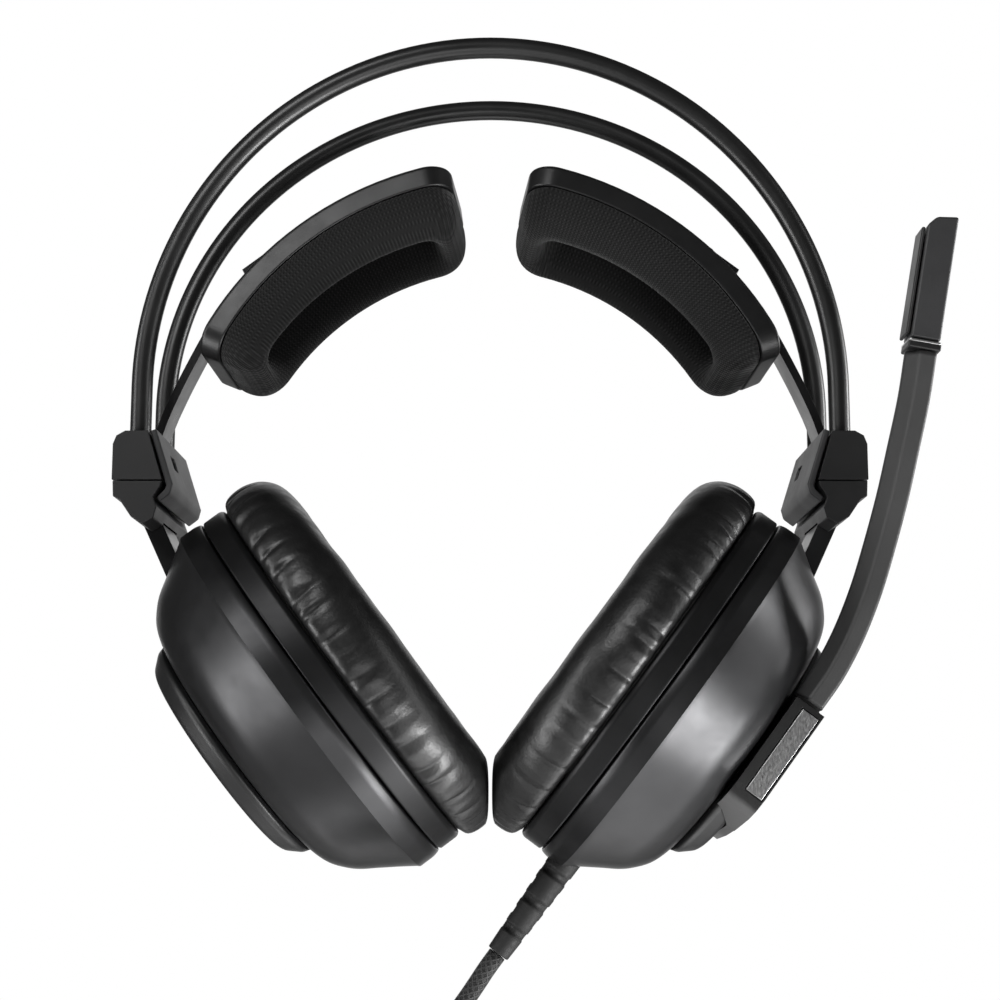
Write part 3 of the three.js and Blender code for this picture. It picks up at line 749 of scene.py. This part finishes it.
# ---- Headband ----
def make_hoop(name, way):
    """A bent tube; the two stand closest in the hubs and lean apart towards the top."""
    y = way * HOOP_SPACING / 2
    line = [(-HOOP_RADIUS, y, -HOOP_LEG), (-HOOP_RADIUS, y, -10)]
    for i in range(97):
        a = math.pi * i / 96
        out = way * HOOP_SPREAD * math.sin(a) ** 2
        line.append((-HOOP_RADIUS * math.cos(a), y + out, HOOP_RADIUS * math.sin(a)))
    line += [(HOOP_RADIUS, y, -10), (HOOP_RADIUS, y, -HOOP_LEG)]
    hoop = tube(f"{name}_tube", line, HOOP_TUBE, 28)
    return finish_piece(hoop, "headband", LOOKS["hoop"], name, slot="black_steel")


def make_hub(side):
    refined(f"{side}_hub_housing", "headband", LOOKS["hub"], 1.0, "matte_black_plastic", 4)
    refined(f"{side}_hub_base", "headband", LOOKS["hub"], 0.7, "matte_black_plastic")
    refined(f"{side}_hub_cover", "headband", LOOKS["cover"], 0.45, "grey_plastic")
    refined(f"{side}_cup_arm", "headband", LOOKS["arm"], 0.9, "black_steel", 4)


# ---- Wings ----
def stadium(half_length, half_wide, corner, count=96):
    """Points of a rounded rectangle, (s, y), starting at +s and going round."""
    corner = min(corner, half_wide - 0.01, half_length - 0.01)
    quarter = count // 4
    made = []
    for q in range(4):
        sx = 1 if q in (0, 3) else -1
        sy = 1 if q in (0, 1) else -1
        for k in range(quarter):
            t = k / quarter
            if q in (1, 3):
                t = 1 - t
            # Each quarter runs along the end, round its corner, then along the side.
            end, bend, run = 0.12, 0.5, 0.38
            if t < end:
                point = (half_length, (half_wide - corner) * t / end)
            elif t < end + bend:
                a = (t - end) / bend * math.pi / 2
                point = (half_length - corner + corner * math.cos(a),
                         half_wide - corner + corner * math.sin(a))
            else:
                share = (t - end - bend) / run
                point = ((half_length - corner) * (1 - share), half_wide)
            made.append((sx * point[0], sy * point[1]))
    return made


def wing_shape(name, side, profile, sag=0.0, cap=False):
    """A bent pill or ring from a closed profile of (inset, height, corner)."""
    half_length = WING_ARC_R * math.radians(WING_TO - WING_FROM) / 2
    middle = (WING_FROM + WING_TO) / 2
    rings, uvs = [], []
    gone = 0.0
    for i, (inset, height, corner) in enumerate(profile):
        if i:
            gone += math.hypot(inset - profile[i - 1][0], height - profile[i - 1][1])
        ring = []
        outline = stadium(half_length - inset, WING_WIDTH / 2 - inset, corner)
        for s, y in outline:
            angle = middle + math.degrees(s / WING_ARC_R)
            depth = height - sag * max(0, -height - WING_DEPTH) * (s / half_length)
            ring.append(wing_point(angle, depth, y))
            uvs.append((s, y + gone))
        rings.append(ring)
    place = wing_matrix(side)
    obj = loft(name, rings, place, closed_ends=False, uvs=uvs, loop=not cap)
    return obj


def make_tray(side):
    outline = rounded([(15.98, 0, 0), (0, 0, 1.3), (0, -WING_DEPTH, 0.5), (1.8, -WING_DEPTH, 0.3),
                       (1.8, -1.9, 0.6), (15.98, -1.9, 0)], 4, closed=False)
    profile = [(p.x, p.y, max(7 - p.x, 0.4)) for p in outline]
    tray = wing_shape(f"{side}_tray_skin", side, profile, cap=True)
    bridge_middle(tray)
    even_shading(tray)
    finish_piece(tray, f"{side}_wing", LOOKS["tray"], f"{side}_wing_tray",
                 slot="satin_black_plastic")
    foot = -PIVOT_RISE - 0.4
    barrel = rounded([(-3, foot, 0), (3, foot, 0), (3, 1.5, 1.2), (1.5, 3, 1.2), (-1.5, 3, 1.2),
                      (-3, 1.5, 1.2)], 4)
    block = prism(f"{side}_tray_barrel", barrel, -0.6, 9, wing_matrix(side) @ pivot_matrix())
    bevel(block, 0.4)
    finish_piece(block, f"{side}_wing", LOOKS["tray"], slot="satin_black_plastic")


def bridge_middle(obj):
    """Joins the two edges that meet along the tray's middle line, so it is one closed body."""
    bm = bmesh.new()
    bm.from_mesh(obj.data)
    bmesh.ops.remove_doubles(bm, verts=bm.verts, dist=0.06 * MM)
    bmesh.ops.recalc_face_normals(bm, faces=bm.faces)
    bm.to_mesh(obj.data)
    bm.free()


def make_pad(side):
    """Foam under stretched mesh: full sides, a crowned face and a deep slot."""
    line = catmull([(0.3, -6.1), (-0.1, -8), (0.1, -11.2), (1.1, -14.1), (2.9, -16.2),
                    (4.7, -16.8), (6.6, -16.2), (7.9, -14.4), (8.4, -11.6), (8.6, -8.6),
                    (8.6, -6.1)], 5)
    outline = [Vector((1.9, -6.1)), Vector((0.9, -6.1))] + line + [Vector((7, -6.1))]
    profile = [(p.x, p.y, 7.8 - 1.9 * min(1, max(0, p.x / 8.6))) for p in outline]
    pad = wing_shape(f"{side}_pad_cover", side, profile, sag=0.12)
    finish_piece(pad, f"{side}_wing", LOOKS["mesh"], f"{side}_wing_pad", slot="black_mesh_fabric")
    lip = rounded([(7.7, -2.3, 0), (7.7, -9.4, 0.4), (8.4, -9.4, 0.4), (8.4, -2.3, 0)], 3)
    ring = wing_shape(f"{side}_slot_lip", side, [(p.x, p.y, 6.1) for p in lip])
    finish_piece(ring, f"{side}_wing", LOOKS["tray"], slot="satin_black_plastic")


def make_wing(side):
    refined(f"{side}_wing_arm", f"{side}_wing_link", LOOKS["arm"], 0.5, "black_steel")
    make_tray(side)
    make_pad(side)


# ---- Ear cups ----
SHELL_OUTSIDE = [(50.2, 6.2), (47.4, 10.3), (44.5, 14.7), (42.1, 18.4), (39.7, 21), (36.5, 23.4),
                 (32.4, 24.8), (28, 25.2)]
SHELL_INSIDE = [(28, 22.8), (31.6, 22.5), (34.6, 21.4), (37.4, 19.3), (39.6, 16.9), (42, 13.4),
                (44.8, 9), (47.3, 5.4)]


def tilt_pin_in_cup():
    pin = Vector((TILT_PIN[0], 0, TILT_PIN[1]))
    local = cup_matrix("right").inverted() @ pin
    return local.y, local.z


def make_shell(side):
    band = rounded([(47.3, 0.3, 0), (49.8, 0.3, 0.5), (50.3, 2, 1), (50.3, 6.2, 0.25)], 4, False)
    dome = catmull(SHELL_OUTSIDE, 7)
    inner = catmull(SHELL_INSIDE, 3)
    middle = [Vector((0, 25.2)), Vector((0, 22.8))]
    outline = band + dome[1:] + middle + inner
    place = cup_matrix(side)
    shell = revolve(f"{side}_shell_skin", outline, place, 192)
    up, out = tilt_pin_in_cup()
    cutters = [pocket_cutter(side, up, out)]
    if side == "right":
        cutters.append(outlet_cutter(place))
    carve(shell, *cutters)
    even_shading(shell)
    finish_piece(shell, f"{side}_cup", LOOKS["shell"], f"{side}_ear_shell",
                 slot="satin_black_plastic")


def pocket_cutter(side, up, out):
    """The wedge that the arm swings in as the cup tilts."""
    half = 2.8
    reach = 16

    def edge(lean, way, far):
        a = math.radians(lean)
        return (up + far * math.cos(a) - way * half * math.sin(a),
                out + far * math.sin(a) + way * half * math.cos(a))

    outline = [edge(-12.5, -1, -3), edge(-12.5, -1, reach), edge(11.5, 1, reach),
               edge(11.5, 1, -3)]
    return prism(f"{side}_pocket", outline, -9.8, 9.8, cup_matrix(side))


def outlet_cutter(place):
    ring = [(4.2 * math.cos(TAU * j / 32), 4.2 * math.sin(TAU * j / 32)) for j in range(32)]
    rings = [[(x, y, RELIEF_A + z) for x, z in ring] for y in (-60, -40)]
    return loft("outlet", rings, place)


def make_baffle(side):
    outline = rounded([(25.5, -3.4, 0.4), (43.8, -3.4, 0.4), (45.6, -6.2, 0.4), (49.1, -6.2, 0.9),
                       (49.8, -5.2, 0.9), (49.8, -0.2, 0.5), (48.6, 0, 0.3), (25.5, 0, 0.3)], 4)
    baffle = revolve(f"{side}_baffle_rim", outline, cup_matrix(side), 160)
    even_shading(baffle)
    finish_piece(baffle, f"{side}_cup", LOOKS["band"], f"{side}_baffle",
                 slot="matte_black_plastic")


def make_outer_ring(side):
    outline = rounded([(31, 25.3, 0), (30.4, 27.4, 0.6), (27.7, 30.4, 0.8), (26.4, 31, 0.5),
                       (21.4, 31, 0.4), (20.6, 30.3, 0.3), (20.6, 25.3, 0)], 5)
    ring = revolve(f"{side}_ring_skin", outline, cup_matrix(side), 160)
    even_shading(ring)
    finish_piece(ring, f"{side}_cup", LOOKS["dark"], f"{side}_outer_ring",
                 slot="satin_black_plastic")


def make_ring_cap():
    outline = rounded([(0, 25.4, 0), (20.2, 25.4, 0), (20.2, 28.9, 0.8), (18.4, 29.8, 1.2),
                       (12, 30.1, 3), (0, 30.2, 0)], 5, closed=False)
    cap = revolve("left_cap_skin", outline, cup_matrix("left"), 128)
    even_shading(cap)
    finish_piece(cap, "left_cup", LOOKS["shell"], "left_ring_cap", slot="satin_black_plastic")


PLEATS = 44
CUSHION = [(48.6, -6.5), (50.7, -8), (51.5, -11), (51.3, -14.5), (49.8, -18), (46.6, -20.8),
           (42, -22.1), (37.4, -22.1), (33.4, -20.6), (30.6, -17.4), (29.5, -13.5), (29.8, -9.5),
           (31.2, -6.8), (33, -6.5)]


def cushion_point(r, a, angle):
    """How far the leather stands out: pleats that are deep at the seam and gone at the crown."""
    spot = Vector((math.cos(angle) * 3.1, math.sin(angle) * 3.1, 0))
    wander = noise.noise(spot * 1.3) * 2.2 + noise.noise(spot * 5) * 0.9
    pleat = abs(math.sin(angle * PLEATS / 2 + wander))
    strong = 0.7 + 0.5 * noise.noise(spot * 7.7)
    outside = max(0.0, min(1.0, (r - 42) / 6))
    reach = max(0.0, min(1.0, (a + 17.5 + 2.5 * noise.noise(spot * 6.1)) / 8))
    near_seam = reach ** 1.4 * max(0.0, min(1.0, (-6.6 - a) / 1.2))
    depth = outside * near_seam * strong * (1.25 * pleat ** 0.8 - 0.8)
    inner = max(0.0, min(1.0, (34 - r) / 4)) * max(0.0, min(1.0, (a + 18) / 7))
    depth -= 0.5 * inner * (1 - abs(math.sin(angle * 20 + wander))) ** 2
    soft = noise.noise(spot * 1.6 + Vector((0, 0, a * 0.06)))
    return depth + 0.22 * soft * max(0.0, min(1.0, (-8 - a) / 6))


def make_cushion(side):
    line = catmull(CUSHION, 4)
    count = len(line)
    around = 624
    place = cup_matrix(side)
    points, uvs = [], []
    gone = [0.0]
    for i in range(1, count):
        gone.append(gone[-1] + (line[i] - line[i - 1]).length)
    for i, p in enumerate(line):
        along = line[min(i + 1, count - 1)] - line[max(i - 1, 0)]
        out = Vector((-along.y, along.x)).normalized()
        for j in range(around):
            angle = TAU * j / around
            shift = cushion_point(p.x, p.y, angle)
            r, a = p.x + out.x * shift, p.y + out.y * shift
            points.append((r * math.cos(angle), r * math.sin(angle), a))
            uvs.append((angle * 45, gone[i]))
    faces = []
    for i in range(count):
        k = (i + 1) % count
        for j in range(around):
            m = (j + 1) % around
            faces.append((i * around + j, k * around + j, k * around + m, i * around + m))
    cushion = add_mesh(f"{side}_cushion_skin", points, faces, place, uvs)
    press_flat(cushion, SIDES[side])
    finish_piece(cushion, f"{side}_cup", LOOKS["leather"], f"{side}_ear_cushion",
                 slot="black_leatherette")


def press_flat(obj, way):
    """Where the two cushions meet, each stops just short of the middle plane."""
    for vertex in obj.data.vertices:
        x = vertex.co.x * way
        if x < 1.2 * MM:
            x = 0.35 * MM + 0.85 * MM * math.exp((x - 1.2 * MM) / (1.6 * MM))
            vertex.co.x = way * x


def make_ear_cloth(side):
    outline = [Vector((0, -4.6)), Vector((12, -4.7)), Vector((25, -5.1)), Vector((38, -5.7)),
               Vector((43.2, -5.9)), Vector((43.4, -4.9)), Vector((43.2, -3.9)),
               Vector((0, -3.9))]
    cloth = revolve(f"{side}_speaker_cloth", outline, cup_matrix(side), 96)
    layer = cloth.data.uv_layers.new(name="UVMap")
    inverse = cup_matrix(side).inverted()
    for polygon in cloth.data.polygons:
        for loop in polygon.loop_indices:
            co = cloth.data.vertices[cloth.data.loops[loop].vertex_index].co / MM
            local = inverse @ co
            layer.data[loop].uv = (local.x, local.y)
    finish_piece(cloth, f"{side}_cup", LOOKS["cloth"], f"{side}_ear_cloth",
                 slot="black_mesh_fabric")


def make_cup(side):
    make_shell(side)
    make_baffle(side)
    make_outer_ring(side)
    make_cushion(side)
    make_ear_cloth(side)


# ---- Boom microphone ----
def boom_line():
    pts = catmull(BOOM_PATH, 10)
    made = []
    for i, p in enumerate(pts):
        along = (pts[min(i + 1, len(pts) - 1)] - pts[max(i - 1, 0)]).normalized()
        made.append((p, along))
    return made


def make_boom():
    corners = rounded(BOOM_SECTION, 4)
    rings = []
    for p, along in boom_line():
        side = Vector((-along.y, along.x))
        ring = []
        for c in corners:
            q = p + side * c.y
            ring.append((FACET_Y + BOOM_WIDE / 2 + c.x, q.x, q.y))
        rings.append(ring)
    boom = loft("boom_stalk", rings, cup_matrix("right"))
    even_shading(boom)
    finish_piece(boom, "boom", LOOKS["boom"], "boom", slot="grey_plastic")


def capsule_matrix():
    """At the boom's tip: X across the boom, Y along it, Z outwards."""
    tip, along = boom_line()[-1]
    place = Matrix(((1, 0, 0), (0, along.x, along.y), (0, -along.y, along.x))).transposed()
    place = place.to_4x4()
    place.translation = (FACET_Y + BOOM_WIDE / 2, tip.x, tip.y)
    return cup_matrix("right") @ place


def make_collar():
    """A dark collar between boom and capsule with one thin bright line round it."""
    refined("mic_collar", "boom", LOOKS["dark"], 0.4, "silver_trim")
    line = rounded([(-4.4, -4.2, 0.8), (4.7, -4.2, 0.8), (4.7, 3.8, 0.8), (-4.4, 3.8, 0.8)], 4)
    rings = [[(p.x, y, p.y) for p in line] for y in (1.9, 2.5)]
    trim = loft("collar_line", rings, capsule_matrix())
    bevel(trim, 0.12, 2)
    finish_piece(trim, "boom", LOOKS["silver"], slot="silver_trim")


def make_microphone():
    refined("boom_base", "boom", LOOKS["base"], 0.6, "matte_black_plastic")
    refined("boom_plate", "boom", LOOKS["silver"], 0.15, "silver_trim", 2)
    make_boom()
    make_collar()
    refined("mic_housing", "boom", LOOKS["capsule"], 0.9, "grey_plastic", 4)
    refined("mic_cover", "boom", LOOKS["dark"], 0.4, "matte_black_plastic")


# ---- What stays as the CAD model has it ----
PLAIN = {
    "crossover_wire": "rubber", "right_wing_pin": "steel", "left_wing_pin": "steel",
    "right_wing_pivot": "steel", "left_wing_pivot": "steel", "right_tilt_pin": "steel",
    "left_tilt_pin": "steel", "right_driver_frame": "cover", "left_driver_frame": "cover",
    "right_driver_magnet": "steel", "left_driver_magnet": "steel", "right_diaphragm": "film",
    "left_diaphragm": "film", "circuit_board": "board", "mic_element": "steel",
    "boom_retainer": "steel",
}


def paint_plain_nodes():
    for name, look in PLAIN.items():
        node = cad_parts[name]
        node.data.materials.clear()
        node.data.materials.append(LOOKS[look])


# ---- Studio ----
def light(name, at, target, size, power):
    data = bpy.data.lights.new(name, "AREA")
    data.shape = "RECTANGLE"
    data.size, data.size_y = size
    data.energy = power
    obj = bpy.data.objects.new(name, data)
    obj.location = at
    obj.rotation_euler = (Vector(target) - Vector(at)).to_track_quat("-Z", "Y").to_euler()
    bpy.context.scene.collection.objects.link(obj)


def make_world():
    """A dim grey room in the round, with a white screen behind the headset."""
    world = bpy.data.worlds.new("studio")
    world.use_nodes = True
    bpy.context.scene.world = world
    tree = world.node_tree
    where = tree.nodes.new("ShaderNodeTexCoord")
    towards = tree.nodes.new("ShaderNodeVectorMath")
    towards.operation = "DOT_PRODUCT"
    towards.inputs[1].default_value = (0, math.cos(math.radians(9)), math.sin(math.radians(9)))
    screen = tree.nodes.new("ShaderNodeMapRange")
    for key, value in (("From Min", SCREEN_EDGE - 0.04), ("From Max", SCREEN_EDGE),
                       ("To Min", ROOM_LIGHT), ("To Max", 1.0)):
        screen.inputs[key].default_value = value
    tree.links.new(where.outputs["Generated"], towards.inputs[0])
    tree.links.new(towards.outputs["Value"], screen.inputs["Value"])
    tree.links.new(screen.outputs["Result"], tree.nodes["Background"].inputs["Strength"])
    tree.nodes["Background"].inputs["Color"].default_value = (1, 1, 1, 1)


def make_studio():
    make_world()
    bpy.context.scene.view_settings.view_transform = "Standard"
    light("key", (-0.5, -0.9, 0.6), (0, 0, -0.05), (0.5, 0.35), 4.5)
    light("front_fill", (0.25, -0.8, -0.45), (0, 0, -0.08), (0.7, 0.25), 1.5)
    light("right_low", (0.47, -0.23, -0.48), (0.05, -0.04, -0.09), (0.24, 0.24), 4.6)
    light("left_low", (-0.58, -0.23, -0.32), (-0.05, -0.05, -0.08), (0.24, 0.28), 1.3)
    light("right_rim", (0.64, 0.12, 0.05), (0.07, -0.03, -0.06), (0.2, 0.3), 2.4)
    light("right_strip", (0.85, -0.35, 0.1), (0.03, 0, -0.06), (0.2, 0.8), 1.6)
    light("left_strip", (-0.85, -0.3, 0.0), (-0.03, 0, -0.06), (0.2, 0.8), 3)
    light("under", (0.05, 0.05, -0.58), (0, 0, -0.1), (0.6, 0.4), 1.3)
    corners = [(-900, -900), (900, -900), (900, 900), (-900, 900)]
    floor = add_mesh("floor", [(x, y, FLOOR_Z) for x, y in corners], [(0, 1, 2, 3)])
    pale = Shader("pale_floor", (0.8, 0.8, 0.8), 0.7)
    where = pale.place()
    pale.colour(pale.noise(where, 0.01, 3), (0.3, 0.78), (0.7, 0.82))
    floor.data.materials.append(pale.material)


make_camera()
make_cords()
make_hoop("front_hoop", -1)
make_hoop("rear_hoop", 1)
for name in SIDES:
    make_hub(name)
    make_wing(name)
    make_cup(name)
make_ring_cap()
make_microphone()
paint_plain_nodes()
make_studio()
